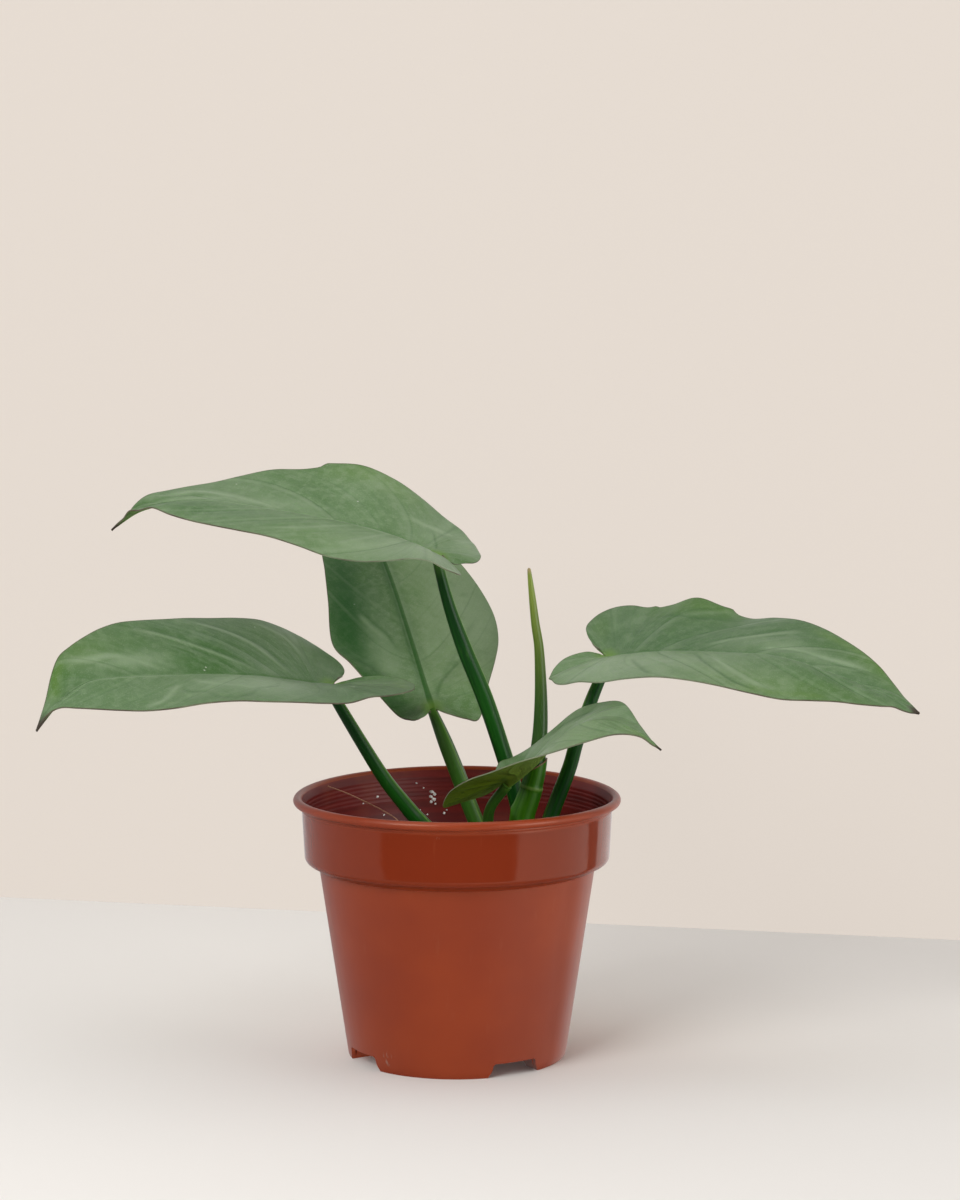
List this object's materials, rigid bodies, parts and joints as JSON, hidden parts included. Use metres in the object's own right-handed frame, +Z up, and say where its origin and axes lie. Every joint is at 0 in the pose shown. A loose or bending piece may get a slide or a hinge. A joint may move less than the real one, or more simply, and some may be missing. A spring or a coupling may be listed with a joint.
{
  "type": "potted philodendron hastatum",
  "caption": "Young arrow-leaved philodendron with long pointed leaves on slender stalks and a rolled new leaf, growing in a round rimmed nursery pot",
  "frame": {"origin": "middle of the whole object's bounding box in X and Y, on the surface that the pot stands on", "axes": "+Z up; the front, which the picture shows, faces -Y; +X is the picture's right; the pot's axis is upright at X -10.6 mm, Y -19.9 mm"},
  "size_m": [0.3784, 0.2206, 0.2694],
  "materials": {
    "blade": "silvery grey-green living leaf, satin, darker midrib and veins",
    "petiole": "smooth deep green living leaf stalk",
    "shoot": "smooth yellow-green young growth",
    "pot": "moulded terracotta-coloured plastic with a soft shine",
    "soil": "dark crumbly potting mix with white perlite grains"
  },
  "bodies": {
    "root": {"pot": "pot", "soil": "soil", "crown": "shoot", "petiole_upper_left": "petiole", "petiole_lower_left": "petiole", "petiole_rear": "petiole", "petiole_right": "petiole", "petiole_front_small": "petiole", "blade_upper_left": "blade", "blade_lower_left": "blade", "blade_rear": "blade", "blade_right": "blade", "blade_front_small": "blade", "sheath": "shoot", "rolled_leaf": "shoot"}
  },
  "joints": []
}
